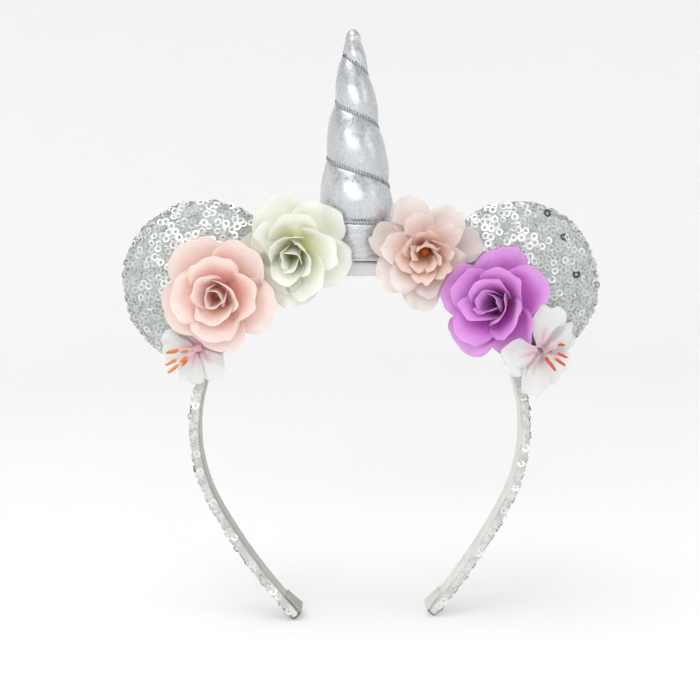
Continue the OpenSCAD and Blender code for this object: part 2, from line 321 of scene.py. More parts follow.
def petal_cloth(add, place, deep, middle, edge, streak=None, soft=0.45):
    """Stamped polyester petal cloth: its colour deeper towards the base, fine plain weave, soft sheen."""
    uv = add("UVMap", "UV", uv_map="UVMap")
    parts = add("SeparateXYZ", None, {0: uv}).outputs
    blot = add("TexNoise", "Fac", {"Vector": place, "Scale": per_mm(7), "Detail": 3.0})
    shifted = add("Math", 0, {0: blot, 1: 0.3, 2: parts["Y"]}, operation="MULTIPLY_ADD")
    deep_to_pale = add("ValToRGB", "Color", {"Fac": shifted}, [(0.16, deep), (0.62, middle), (1.02, edge)])
    # The sides of a petal are as pale as its tip
    off_middle = add("Math", 0, {0: parts["X"], 1: 0.5}, operation="SUBTRACT")
    side = add("Math", 0, {0: off_middle}, operation="ABSOLUTE")
    pale = add("ValToRGB", "Color", {"Fac": side}, [(0.33, 0.0), (0.5, 0.7)])
    colour = add("Mix", MIXED, {"Factor": pale, MIX_A: deep_to_pale, MIX_B: edge}, data_type="RGBA")
    if streak:
        # A crease dyed darker along the petal's middle, fading towards the tip
        line = add("ValToRGB", "Color", {"Fac": side}, [(0.0, 1.0), (0.11, 0.0)])
        fade = add("ValToRGB", "Color", {"Fac": parts["Y"]}, [(0.1, 1.0), (0.62, 0.0)])
        both = {"Factor": 1.0, MIX_A: line, MIX_B: fade}
        crease = add("Mix", MIXED, both, data_type="RGBA", blend_type="MULTIPLY")
        colour = add("Mix", MIXED, {"Factor": crease, MIX_A: colour, MIX_B: streak}, data_type="RGBA")
    # Threads 0.25 mm apart, drawn at 0.5 mm so that they show
    threads = {"Vector": uv, "Scale": 14.0, "Distortion": 0.6}
    warp = add("TexWave", "Fac", threads, wave_type="BANDS", bands_direction="X")
    weft = add("TexWave", "Fac", threads, wave_type="BANDS", bands_direction="Y")
    weave = add("Math", 0, {0: warp, 1: weft}, operation="ADD")
    creased = add("TexNoise", "Fac", {"Vector": place, "Scale": per_mm(3.5), "Detail": 2.0})
    return {
        "Base Color": colour,
        "Roughness": 0.62,
        "bumps": [(weave, 0.03, 1.0), (creased, 0.25, 0.6)],
        "Sheen Weight": 0.35,
        "Sheen Roughness": 0.4,
        "Subsurface Weight": soft,
        "Subsurface Radius": (1.0, 0.75, 0.7),
        "Subsurface Scale": 2.5 * MM,
        "Specular IOR Level": 0.3,
    }


def sequin_mesh_cloth(add, place, low, high):
    """Knitted net that carries the sequins: pale grey and matt, its 1.1 mm meshes showing as tiny knots."""
    net = add("TexVoronoi", "Distance", {"Vector": place, "Scale": per_mm(1.1)}, feature="DISTANCE_TO_EDGE")
    blot = add("TexNoise", "Fac", {"Vector": place, "Scale": per_mm(9), "Detail": 4.0})
    tone = add("ValToRGB", "Color", {"Fac": blot}, [(0.35, low), (0.65, high)])
    threads = add("ValToRGB", "Color", {"Fac": net}, [(0.04, 0.78), (0.2, 1.0)])
    both = {"Factor": 1.0, MIX_A: tone, MIX_B: threads}
    return {
        "Base Color": add("Mix", MIXED, both, data_type="RGBA", blend_type="MULTIPLY"),
        "Roughness": 0.6,
        "bumps": [(net, 0.2, 0.7)],
        "Sheen Weight": 0.25,
    }


def sequin_film(add, place):
    """Metallised polyester film, stamped into rings: bright, some rings clouded, each with its own tone, part of
    it painted light: painted glints on the palest rings and a painted dark reflection on the darkest.
    """
    tone = add("Attribute", "Fac", attribute_name="ring_tone_and_painted_reflection")
    # The darkest tone is a painted dark reflection and the palest tones are painted glints; the tones between
    # differ at random.
    tones = [(0.0, "#3f3f42"), (0.02, "#77787a"), (0.06, "#b9beba"), (0.6, "#cfd3d0"), (1.0, "#e6e8e7")]
    return {
        "Base Color": add("ValToRGB", "Color", {"Fac": tone}, tones),
        "Metallic": add("ValToRGB", "Color", {"Fac": tone}, [(0.1, 0.35), (0.9, 0.7)]),
        "Roughness": add("ValToRGB", "Color", {"Fac": tone}, [(0.0, 0.12), (0.6, 0.4), (1.0, 0.25)]),
    }


def satin_cloth(add, place, dark, light):
    """Woven satin ribbon: smooth, with a faint grain of threads across it and a low broad sheen."""
    uv = add("UVMap", "UV", uv_map="UVMap")
    blot = add("TexNoise", "Fac", {"Vector": place, "Scale": per_mm(6), "Detail": 3.0})
    threads = {"Vector": uv, "Scale": 60.0, "Distortion": 0.8}
    grain = add("TexWave", "Fac", threads, wave_type="BANDS", bands_direction="Y")
    return {
        "Base Color": add("ValToRGB", "Color", {"Fac": blot}, [(0.3, dark), (0.7, light)]),
        "Roughness": 0.42,
        "bumps": [(grain, 0.03, 0.7), (blot, 0.2, 0.5)],
        "Anisotropic": 0.5,
        "Sheen Weight": 0.3,
    }


def lame_cloth(add, place):
    """Foil-printed lame over wadding: silver with a soft gloss, and a fine crackle where the foil creased."""
    crackle = add("TexNoise", "Fac", {"Vector": place, "Scale": per_mm(1.3), "Detail": 6.0})
    blot = add("TexNoise", "Fac", {"Vector": place, "Scale": per_mm(12), "Detail": 3.0})
    rumple = add("TexNoise", "Fac", {"Vector": place, "Scale": per_mm(5), "Detail": 1.0})
    tone = add("ValToRGB", "Color", {"Fac": blot}, [(0.3, "#c2c6ca"), (0.55, "#ced1d3"), (0.72, "#dad9db")])
    flecks = add("ValToRGB", "Color", {"Fac": crackle}, [(0.36, 0.93), (0.6, 1.0)])
    both = {"Factor": 1.0, MIX_A: tone, MIX_B: flecks}
    return {
        "Base Color": add("Mix", MIXED, both, data_type="RGBA", blend_type="MULTIPLY"),
        "Metallic": 0.72,
        "Roughness": add("ValToRGB", "Color", {"Fac": crackle}, [(0.35, 0.22), (0.65, 0.42)]),
        "bumps": [(crackle, 0.11, 0.6), (rumple, 0.5, 0.5)],
    }


def silver_thread(add, place):
    """Metallised yarn twisted into a cord, its colour painted darker in the furrows as painted shade and paler on
    the strands as painted highlight.
    """
    painted_furrow_shade = add("Attribute", "Fac", attribute_name="painted_furrow_shade")
    yarn = add("TexNoise", "Fac", {"Vector": place, "Scale": per_mm(0.35), "Detail": 2.0})
    # Dark in the furrows, a painted shade; pale on the strands' crowns, a painted highlight.
    tones = [(0.0, "#5c6166"), (0.55, "#868b90"), (1.0, "#cdd0d3")]
    return {
        "Base Color": add("ValToRGB", "Color", {"Fac": painted_furrow_shade}, tones),
        "Metallic": 0.8,
        "Roughness": 0.3,
        "bumps": [(yarn, 0.12, 1.0)],
    }


def dipped_thread(add, place, thread, dip):
    """Waxed thread, pale and satin, with its end dipped in a coloured paste that dries glossy and uneven."""
    dipped = add("Attribute", "Fac", attribute_name="dipped")
    grain = add("TexNoise", "Fac", {"Vector": place, "Scale": per_mm(0.6), "Detail": 2.0})
    paste = add("Mix", MIXED, {"Factor": grain, MIX_A: dip, MIX_B: thread}, data_type="RGBA")
    strong = add("Mix", MIXED, {"Factor": 0.9, MIX_A: paste, MIX_B: dip}, data_type="RGBA")
    return {
        "Base Color": add("Mix", MIXED, {"Factor": dipped, MIX_A: thread, MIX_B: strong}, data_type="RGBA"),
        "Roughness": 0.45,
        "bumps": [(grain, 0.08, 1.0)],
    }


def mottled(add, place, grain_mm, detail, depth, low, high):
    """The base of what has a fine grain all over. grain_mm is the grain's size and depth its height."""
    grain = add("TexNoise", "Fac", {"Vector": place, "Scale": per_mm(grain_mm), "Detail": detail})
    colour = add("ValToRGB", "Color", {"Fac": grain}, [(0.3, low), (0.7, high)])
    return {"Base Color": colour, "bumps": [(grain, depth, 1.0)]}


def felt_cloth(add, place, *tones):
    """Pressed felt or loose fibre: matt, mottled, with a short nap."""
    return {"Roughness": 0.95, "Sheen Weight": 0.5, **mottled(add, place, 0.7, 5.0, 0.2, *tones)}


def moulded_plastic(add, place, rough, *tones):
    """Moulded plastic: smooth, with faint flow marks."""
    return {"Roughness": rough, "IOR": 1.46, **mottled(add, place, 3, 2.0, 0.05, *tones)}


def coated_cloth(add, place, *tones):
    """Silver-coated tape: smooth and pale, with a dull metallic gloss."""
    return {"Metallic": 0.4, "Roughness": 0.4, **mottled(add, place, 0.5, 3.0, 0.04, *tones)}


EAR_CLOTH = material("sequin_net_grey", sequin_mesh_cloth, "#b3b8b4", "#c9cdca")
BAND_CLOTH = material("sequin_net_pale", sequin_mesh_cloth, "#cfd0ca", "#e6e7e3")
FILM = material("sequin_film_silver", sequin_film)
# One satin in two copies: the left one painted darker as painted shade, the right one paler as painted light.
SATIN = {
    "left": material("satin_ribbon_painted_shade", satin_cloth, "#9b9c94", "#abaca3"),
    "right": material("satin_ribbon_painted_light", satin_cloth, "#d6d8d1", "#e6e8e2"),
}
LAME = material("lame_foil_silver", lame_cloth)
THREAD = material("twisted_cord_silver", silver_thread)
FELT = material("felt_pale_grey", felt_cloth, "#c9cac8", "#dcdddb")
WADDING = material("fibre_wadding", felt_cloth, "#e8e8e4", "#f4f4f1")
BAND_PLASTIC = material("band_core_plastic", moulded_plastic, 0.45, "#d8d8d5", "#e2e2df")
STEM_PLASTIC = {
    flower: material(f"stem_plastic_{tint}", moulded_plastic, rough, low, high)
    for flower, tint, rough, low, high in (
        ("pink_rose", "coral", 0.5, "#ec8f80", "#f29d8d"),
        ("ivory_rose", "lime", 0.5, "#d3d58f", "#dddd9e"),
        ("peach_flower", "amber", 0.75, "#b8622e", "#c8743b"),
        ("purple_rose", "violet", 0.5, "#8a1b74", "#992683"),
        ("left_blossom", "rose", 0.5, "#e3aeba", "#ecbfc9"),
        ("right_blossom", "wine", 0.5, "#842839", "#933244"),
    )
}
TAPE = material("silver_tape_smooth", coated_cloth, "#c6c9cb", "#dcdedf")
PINK = material("petal_cloth_coral", petal_cloth, "#f08a78", "#fabdae", "#ffe2d8")
IVORY = material("petal_cloth_ivory", petal_cloth, "#dfdc80", "#eeefd0", "#f8f9ee")
PEACH = material("petal_cloth_dusty_peach", petal_cloth, "#f2a68f", "#f0cdc2", "#f5e1da", soft=0.55)
PEACH_INNER = material("petal_cloth_warm_peach", petal_cloth, "#d07c4c", "#f8b8a2", "#fbd3c4", soft=0.5)
PURPLE = material("petal_cloth_orchid", petal_cloth, "#86196f", "#c04bbd", "#e492e8")
BLOSSOM = material("petal_cloth_white", petal_cloth, "#e8b0bd", "#e9e5e3", "#eceae8", streak="#d793a4")
ORANGE_THREAD = material("waxed_thread_orange", dipped_thread, "#f0dcd4", "#dd7722")
RED_THREAD = material("waxed_thread_red", dipped_thread, "#efd0cc", "#d2431d")

# ---- the band's curve


def band_turn(run):
    """Whether a place is on the crown's circle, and its angle there or on the leg's."""
    run = np.asarray(run, float)
    on_crown = run <= CROWN_RUN
    return on_crown, np.where(
        on_crown, math.pi / 2 - run / COVER_R, -CROWN_DROP - (run - CROWN_RUN) / LEG_R
    )


def band_place(run, radius, across, side):
    """Points of the band: run is how far down the cover from the top, radius is the layer's in the crown, and
    across goes from the front edge to the back edge. side is -1 on the left."""
    run, radius = np.broadcast_arrays(np.asarray(run, float), np.asarray(radius, float))
    on_crown, angle = band_turn(run)
    r = np.where(on_crown, radius, radius + LEG_SHIFT)
    x = np.where(on_crown, 0.0, LEG_CENTRE[0]) + r * np.cos(angle)
    z = np.where(on_crown, 0.0, LEG_CENTRE[1]) + r * np.sin(angle)
    return np.stack([side * x, np.broadcast_to(across, x.shape) * 1.0, z], axis=-1)


def bend_with_leg(obj, side_name):
    """Bakes the piece's transform into its mesh. It works out the leg's flex point and its way down but uses
    neither, so the piece does not bend with the leg.
    """
    side = SIDES[side_name]
    pivot = FLEX[f"{side_name}_leg"]
    down = np.array([side * pivot[2], 0, -side * pivot[0]]) / np.hypot(pivot[0], pivot[2])
    down = down if down[2] < 0 else -down
    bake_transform(obj)


# ---- ring sequins

RING_D, RING_HOLE, RING_T = 3.0, 1.25, 0.13
RING_CUP = 0.08


def ring_template():
    """One ring sequin, a flattened ring with a slight cup. Its axis is +Z."""
    deselect()
    middle, half = (RING_D + RING_HOLE) / 4, (RING_D - RING_HOLE) / 4
    bpy.ops.mesh.primitive_torus_add(
        major_segments=11, minor_segments=4, major_radius=middle * MM, minor_radius=half * MM
    )
    ring = bpy.context.object
    points = np.array([v.co for v in ring.data.vertices], float) / MM
    points[:, 2] *= RING_T / (2 * half)
    points[:, 2] += RING_CUP * np.hypot(points[:, 0], points[:, 1])
    faces = [tuple(p.vertices) for p in ring.data.polygons]
    bpy.data.objects.remove(ring)
    return points, faces


RING_POINTS, RING_FACES = ring_template()


def sequins(name, places, normals, rng, tilt, dark, bright):
    """One mesh of rings, each with a tilt, in degrees, and a tone of its own. dark and bright are the shares of
    rings painted darkest, a painted dark reflection, and painted near white, painted glints.
    """
    count, per_ring = len(places), len(RING_POINTS)
    lean = rng.normal(0, math.tan(math.radians(tilt)), (count, 3))
    up = normals + lean - normals * (lean * normals).sum(1)[:, None]
    up /= np.linalg.norm(up, axis=1)[:, None]
    a = np.cross(up, rng.normal(size=(count, 3)))
    a /= np.linalg.norm(a, axis=1)[:, None]
    b = np.cross(up, a)
    size = rng.uniform(0.94, 1.04, (count, 1, 1))
    local = RING_POINTS[None] * size
    turned = local[..., :1] * a[:, None] + local[..., 1:2] * b[:, None] + local[..., 2:] * up[:, None]
    faces = [tuple(i * per_ring + k for k in f) for i in range(count) for f in RING_FACES]
    obj = mesh_of(name, (places[:, None] + turned).reshape(-1, 3), faces)
    tone = rng.uniform(0.12, 0.55, count)
    # A share of rings gets a near-white tone as painted glints, and a few get the darkest tone as a painted dark
    # reflection.
    tone = np.where(rng.random(count) < bright, rng.uniform(0.8, 1.0, count), tone)
    tone = np.where(rng.random(count) < dark, 0.0, tone)
    point_values(obj, "ring_tone_and_painted_reflection", np.repeat(tone, per_ring))
    return smooth(obj, 35)


# ---- band pieces

# The cover's section, from one tucked edge over the outer face to the other: across and radius
COVER_SECTION = [
    (-BAND_HALF + 0.35, LINING_R + 0.55),
    (-BAND_HALF - 0.05, LINING_R + 1.0),
    (-BAND_HALF - 0.1, LINING_R + 2.2),
    (-BAND_HALF + 0.25, COVER_R - 0.45),
    (-BAND_HALF + 1.1, COVER_R - 0.1),
    (-BAND_HALF + 2.8, COVER_R + 0.05),
    (0.0, COVER_R + 0.1),
]


def along_section(section, u):
    """The point a share u, from -1 to 1, of the way along a section that is the same on both sides."""
    half = np.array(section)
    full = np.concatenate([half, half[:-1][::-1] * [-1, 1]])
    run = np.concatenate([[0], np.cumsum(np.linalg.norm(np.diff(full, axis=0), axis=1))])
    at = (u + 1) / 2 * run[-1]
    return np.interp(at, run, full[:, 0]), np.interp(at, run, full[:, 1])


def ruffle(run, across, size, seed):
    """A soft unevenness, the same each time, of about size mm."""
    return size * (
        0.5 * np.sin(run * 0.41 + across * 0.9 + seed)
        + 0.3 * np.sin(run * 1.07 - across * 1.7 + 2.1 * seed)
        + 0.2 * np.sin(run * 2.3 + across * 2.9 + 3.7 * seed)
    )


def band_sheet(side_name, piece, squares, shape, thickness, width, finish, slot, node, crown_node):
    """A strip of cloth over half of the band, from the top of the crown to the leg's tip."""
    sheet = cloth_grid(f"{side_name}_band_{piece}", *squares, shape)
    weld(thicken(sheet, thickness))
    declare(sheet, side_name, finish, slot, f"{side_name}_leg_{node}", crown_node)


def band_cover(side_name):
    def shape(u, v):
        across, radius = along_section(COVER_SECTION, u)
        run = v * SIDE_RUN
        return band_place(run, radius + ruffle(run, across, 0.09, 1.0), across, SIDES[side_name])

    finish = (BAND_CLOTH, "band_sequin_fabric", "cover", "sequin_cover_crown")
    band_sheet(side_name, "cover", (16, 200), shape, 0.35, 0.017, *finish)


def band_lining(side_name):
    def shape(u, v):
        across = u * (BAND_HALF - 0.25)
        run = v * SIDE_RUN
        lift = 0.22 * np.clip((np.abs(u) - 0.82) / 0.18, 0, 1) ** 2
        radius = LINING_R + LINING_T / 2 + lift + ruffle(run, across, 0.05, 4.0)
        return band_place(run, radius, across + 0.08 * np.sin(run * 0.5) * u, SIDES[side_name])

    finish = (SATIN[side_name], "satin_ribbon", "lining", "satin_lining_crown")
    band_sheet(side_name, "lining", (8, 160), shape, 0.4, 0.01, *finish)


def band_sequins(side_name):
    """Rings in rows over the outer face and along both edges, a few of them loose."""
    side = SIDES[side_name]
    rng = np.random.default_rng(11 if side > 0 else 12)
    places, normals = [], []
    pitch = 3.3
    edge, beside_middle = LINING_R + 2.15, COVER_R + 0.35
    rows = [
        (-BAND_HALF - 0.2, edge, 1.0),
        (-BAND_HALF + 1.9, beside_middle, 0.12),
        (0.0, COVER_R + 0.4, 0.0),
        (BAND_HALF - 1.9, beside_middle, 0.12),
        (BAND_HALF + 0.2, edge, 1.0),
    ]
    for row, (across, radius, lean) in enumerate(rows):
        run = np.arange(1.4 + (row % 2) * pitch / 2, SIDE_RUN - 1.0, pitch)
        run = run + rng.normal(0, 0.35, len(run))
        radii = radius + rng.normal(0, 0.22 if lean == 1.0 else 0.06, len(run))
        angle = band_turn(run)[1]
        out = np.stack([side * np.cos(angle), 0 * angle, np.sin(angle)], axis=-1)
        aim = out * (1 - lean) + np.array([0, np.sign(across), 0]) * lean
        places.append(band_place(run, radii, across + rng.normal(0, 0.12, len(run)), side))
        normals.append(aim / np.linalg.norm(aim, axis=1)[:, None])
    places, normals = np.concatenate(places), np.concatenate(normals)
    # A quarter of the rings get painted glints, and a few get a painted dark reflection.
    rings = sequins(f"{side_name}_band_sequins", places, normals, rng, tilt=14, dark=0.015, bright=0.25)
    declare(rings, side_name, FILM, "band_sequin_fabric")


def tip_fold(side_name):
    """The ribbon's end, brought round the tip and pressed: it flares a little and has a few soft pleats."""
    # The ribbon's way along the inner face, round the end and on to the outer face
    inner, end, outer = 8.2, 4.2, 2.6
    total = inner + end + outer
    middle, half = (LINING_R + COVER_R) / 2, (COVER_R - LINING_R) / 2 + 0.3

    def shape(u, v):
        walked = v * total
        on_inner = np.clip(walked / inner, 0, 1)
        on_end = np.clip((walked - inner) / end, 0, 1)
        on_outer = np.clip((walked - inner - end) / outer, 0, 1)
        flare = 0.1 + 0.55 * on_inner**2 * (1 - on_end) + 0.2 * np.sin(walked * 1.9) * on_inner
        across = u * (BAND_HALF + flare * (1 - on_end) - 0.7 * on_end)
        turn = on_end * math.pi
        skew = 0.5 * np.sin(across * 0.5 + 1.0) * (1 - on_inner)
        run = SIDE_RUN - inner * (1 - on_inner) + skew + 0.75 * np.sin(turn) ** 0.5 - on_outer * outer
        pleat = 0.36 * np.sin(across * 1.5 + 1.2 * np.sin(walked * 0.6) + 0.7)
        pleat = pleat * on_inner * (1 - 0.7 * on_end)
        raised = 0.45 * (1 - on_inner) ** 2 - (0.15 + pleat) * np.cos(turn)
        radius = middle - half * np.cos(turn) - 0.1 + raised
        return band_place(run, radius, across, SIDES[side_name])

    fold = thicken(cloth_grid(f"{side_name}_ribbon_end", 26, 30, shape), 0.3, 1)
    declare(fold, f"{side_name}_leg", SATIN[side_name], "satin_ribbon", f"{side_name}_leg_tip_fold")


def backing_strip():
    """The smooth tape on the crown's front edge: level below, round above, its edges softened."""
    low, high = box_mm("backing_strip")
    front, back = low[1] - 0.1, high[1]

    def shape(u, v):
        x = (low[0] + high[0]) / 2 + u * (high[0] - low[0]) / 2
        top = np.sqrt((COVER_R - 0.1) ** 2 - x**2)
        z = low[2] + v * (top - low[2])
        edge = np.maximum(np.abs(u), np.abs(2 * v - 1))
        y = (front + back) / 2 - 0.1 + 0.35 * np.clip((edge - 0.9) / 0.1, 0, 1) ** 2
        return np.stack([x, y, z], axis=-1)

    strip = cloth_grid("backing_tape", 48, 10, shape)
    weld(thicken(strip, high[1] - low[1] - 0.3, 1))
    declare(strip, "crown", TAPE, "silver_strip", "backing_strip")


# ---- horn


def cord_height(n):
    """The cord's height after n turns, counted from the left side near the tip."""
    n = np.asarray(n, float)
    wound = np.minimum(n, CORD_FLAT)
    steep = HORN_TOP - 8 - 17 * wound - 1.25 * wound * wound
    return steep - 4.2 * (n - wound)


def horn_radius(z):
    """The horn's radius at a height: it swells from its base, tapers, and ends in a round tip."""
    z = np.asarray(z, float)
    low = HORN_BASE_R + (HORN_R - HORN_BASE_R) * np.sin(
        np.pi / 2 * np.clip((z - HORN_BASE) / (HORN_SWELL - HORN_BASE), 0, 1)
    )
    share = np.clip((z - HORN_SWELL) / (HORN_SHOULDER - HORN_SWELL), 0, 1)
    high = HORN_TIP_R + (HORN_R - HORN_TIP_R) * (1 - share**HORN_TAPER)
    end = np.clip((z - HORN_SHOULDER) / (HORN_TOP - HORN_SHOULDER), 0, 1)
    return np.where(z < HORN_SWELL, low, high * np.sqrt(1 - end**2))


def cord_gap(z, angle):
    """(share of the way from the cord above to the cord below, their distance) at a place on the horn."""
    turn = ((angle - math.pi) / (2 * math.pi)) % 1.0
    share = np.full(np.shape(z), 0.5)
    gap = np.zeros(np.shape(z))
    for k in range(-1, 5):
        upper, lower = (np.clip(turn + k + n, CORD_START, CORD_END) for n in (0, 1))
        above, below = cord_height(upper), cord_height(lower)
        here = (z <= above) & (z > below) & (above - below > 0.5)
        share = np.where(here, (above - z) / np.maximum(above - below, 0.1), share)
        gap = np.where(here, above - below, gap)
    return share, gap


def horn_surface(z, angle, inset=0.0):
    """A point of the stuffed horn: the wadding swells between the cord's turns."""
    share, gap = cord_gap(z, angle)
    swell = np.sin(np.pi * np.clip(share, 0, 1)) ** 0.6
    size = np.clip(gap / 18, 0, 1.15) * 1.9
    bulge = np.where(gap > 0, size * (swell - 0.6), 0.0)
    rumple = 0.12 * np.sin(3 * angle + z * 0.35) + 0.06 * np.sin(5 * angle - z * 0.55)
    foot = np.clip((HORN_SWELL - 8 - z) / 8, 0, 1) * 0.14 * np.sin(z * 2.4 + 0.8 * np.sin(2 * angle))
    fade = np.clip((HORN_TOP - z) / 9, 0, 1)
    radius = np.maximum(horn_radius(z) + (bulge + rumple + foot) * fade - inset, 0.0)
    return np.stack([HORN_X + radius * np.cos(angle), radius * np.sin(angle), z], axis=-1)


def horn():
    def shape(u, v):
        rise = np.sin(np.pi / 2 * v) * 0.35 + 0.65 * v
        return horn_surface(HORN_BASE + (HORN_TOP - HORN_BASE) * rise, (u + 1) * math.pi)

    skin = thicken(weld(cloth_grid("horn_skin_lame", 110, 150, shape)), PANEL_T, offset=-1.0)
    declare(skin, "crown", LAME, "horn_lame", "horn_skin")

    def inner(u, v):
        z = HORN_BASE + 0.2 + (HORN_TOP - 1.4 - HORN_BASE) * v
        points = horn_surface(z, (u + 1) * math.pi, 0.75)
        ends = np.clip(np.minimum(v, 1 - v) / 0.015, 0, 1)[:, None]
        centre = [HORN_X, 0, 0] + points * [0, 0, 1]
        return centre + (points - centre) * ends

    wadding = smooth(weld(cloth_grid("horn_wadding", 60, 90, inner)))
    declare(wadding, "crown", WADDING, "fibre_filling", "horn_filling")


def horn_cord():
    """Two strands of silver yarn twisted together and wound round the horn."""
    turns = np.linspace(CORD_START, CORD_END, 1150)
    z = cord_height(turns)
    angle = math.pi + 2 * math.pi * turns
    on_skin = horn_surface(z, angle)
    axis = np.stack([np.full(len(z), HORN_X), 0 * z, z], axis=-1)
    out = on_skin - axis
    radius = np.linalg.norm(out, axis=1)[:, None]
    path = axis + out / radius * (radius + CORD_D / 2 - 0.3)
    run = np.concatenate([[0], np.cumsum(np.linalg.norm(np.diff(path, axis=0), axis=1))])
    furrows = []

    def section(i, angles):
        lobes = np.abs(np.cos(angles - 2 * math.pi * run[i] / CORD_LAY))
        furrows.append(lobes)
        return CORD_D / 2 * (0.62 + 0.38 * lobes**0.8)

    cord = swept_tube("horn_cord_twisted", path, section, 14)
    # The lobes, 0 in the furrows and 1 on the strands, mark where the cord's painted shade and painted highlight
    # fall.
    point_values(cord, "painted_furrow_shade", np.concatenate(furrows))
    smooth(cord)
    declare(cord, "crown", THREAD, "silver_cord", "horn_cord")


def base_pad():
    """The felt disc under the horn, saddled to the crown."""
    low, high = box_mm("horn_base_pad")
    centre, radius = (low[0] + high[0]) / 2, (high[0] - low[0]) / 2

    def shape(u, v):
        angle, q = (u + 1) * math.pi, np.clip(v * 1.15, 0, 1)
        lip = np.clip((v * 1.15 - 1) / 0.15, 0, 1)
        x = centre + (radius - 0.1) * q * np.cos(angle)
        y = (radius - 0.1) * q * np.sin(angle)
        under = np.sqrt(COVER_R**2 - np.minimum(x**2, COVER_R**2 - 1)) + 0.35
        return np.stack([x, y, high[2] - 0.05 - lip * (high[2] - under) * 0.9], axis=-1)

    pad = thicken(weld(cloth_grid("horn_felt_pad", 64, 24, shape)), 0.5, 1)
    declare(pad, "crown", FELT, "felt", "horn_base_pad")


# ---- ears


def ear_centre(side_name):
    """The middle of an ear's disc, from the rim of its CAD panel."""
    points = cad_points(f"{side_name}_ear_front_panel")
    rim = points[(np.abs(points[:, 1]) < 0.02) & (np.hypot(points[:, 0], points[:, 2]) > COVER_R + 2)]
    # A circle through the rim: x*x + z*z = 2ax + 2bz + c
    flat = rim[:, [0, 2]]
    found = np.linalg.lstsq(np.column_stack([2 * flat, np.ones(len(flat))]), (flat**2).sum(1), rcond=None)[0]
    away = found[:2] / np.linalg.norm(found[:2])
    return away * EAR_REACH, math.atan2(away[1], away[0])


def ear_limit(angle):
    """How far the ear's disc goes from its middle at this angle from its axis: its rim, or the band."""
    c = np.cos(angle)
    reach = EAR_REACH**2 * c**2 - (EAR_REACH**2 - COVER_R**2)
    to_band = np.where((c < 0) & (reach > 0), -EAR_REACH * c - np.sqrt(np.maximum(reach, 0)), EAR_R)
    return np.minimum(EAR_R, to_band), to_band < EAR_R - 0.01


def ear_surface(q, angle, face, inset=0.0):
    """Points of a stuffed ear in its own frame, x along its axis. q is 0 in its middle and 1 at its edge."""
    limit, on_band = ear_limit(angle)
    seat = np.where(on_band, np.clip((EAR_R - limit) / 6, 0, 1), 0.0) * (BAND_HALF - 0.5)
    pucker = (0.35 * np.sin(17 * angle + 1.3) * q**5 + 0.2 * np.sin(31 * angle) * q**7) * (1 - q**8)
    dome = np.maximum(1 - q**2.3, 0) ** 0.62
    dimple = 0.35 * np.sin(3 * angle + 0.7 + face) * np.sin(np.pi * q)
    dimple = dimple + 0.25 * np.sin(5 * q * np.cos(angle) + face)
    height = seat + (EAR_HALF - seat) * dome + pucker + dimple * dome - inset
    wobble = 1 + 0.006 * np.sin(5 * angle) + 0.004 * np.sin(11 * angle + 1)
    r = q * limit * np.where(on_band, 1.0, wobble) - inset * q
    return r * np.cos(angle), r * np.sin(angle), np.maximum(height, 0.02)


def ear_to_row(centre, turn, along, aside, height, face):
    """Carries an ear's own points into the row frame. face is -1 at the front and 1 at the back."""
    x = centre[0] + along * math.cos(turn) - aside * math.sin(turn)
    z = centre[1] + along * math.sin(turn) + aside * math.cos(turn)
    return np.stack([x, face * height, z], axis=-1)


def square_to_disc(u, v):
    """Spreads a square grid over a disc, as (q, angle)."""
    w = 2 * v - 1
    x, y = u * np.sqrt(1 - w**2 / 2), w * np.sqrt(1 - u**2 / 2)
    return np.clip(np.hypot(x, y), 0, 1), np.arctan2(y, x)


def ear(side_name):
    centre, turn = ear_centre(side_name)
    rng = np.random.default_rng(31 if side_name == "left" else 32)
    for face_name, face in (("front", -1), ("back", 1)):

        def shape(u, v):
            q, angle = square_to_disc(u, v)
            return ear_to_row(centre, turn, *ear_surface(q, angle, face), face)

        panel = cloth_grid(f"{side_name}_ear_{face_name}", 64, 64, shape)
        if face > 0:
            edit(panel, (bpy.ops.mesh.flip_normals, {}))
        thicken(panel, PANEL_T, offset=-1.0)
        declare(panel, "crown", EAR_CLOTH, "ear_sequin_fabric", f"{side_name}_ear_{face_name}_panel")
        ear_sequins(side_name, face_name, face, centre, turn, rng)

    def inner(u, v):
        angle, polar = (u + 1) * math.pi, v * math.pi
        q = np.sin(polar)
        along, aside, height = ear_surface(q * 0.97, angle, 0, 0.8)
        share = np.abs(np.cos(polar)) ** 0.8
        sign = np.where(polar < math.pi / 2, -1.0, 1.0)
        return ear_to_row(centre, turn, along, aside, height * np.minimum(share * 1.6, 1), sign)

    wadding = smooth(weld(cloth_grid(f"{side_name}_ear_wadding", 48, 32, inner)))
    declare(wadding, "crown", WADDING, "fibre_filling", f"{side_name}_ear_filling")


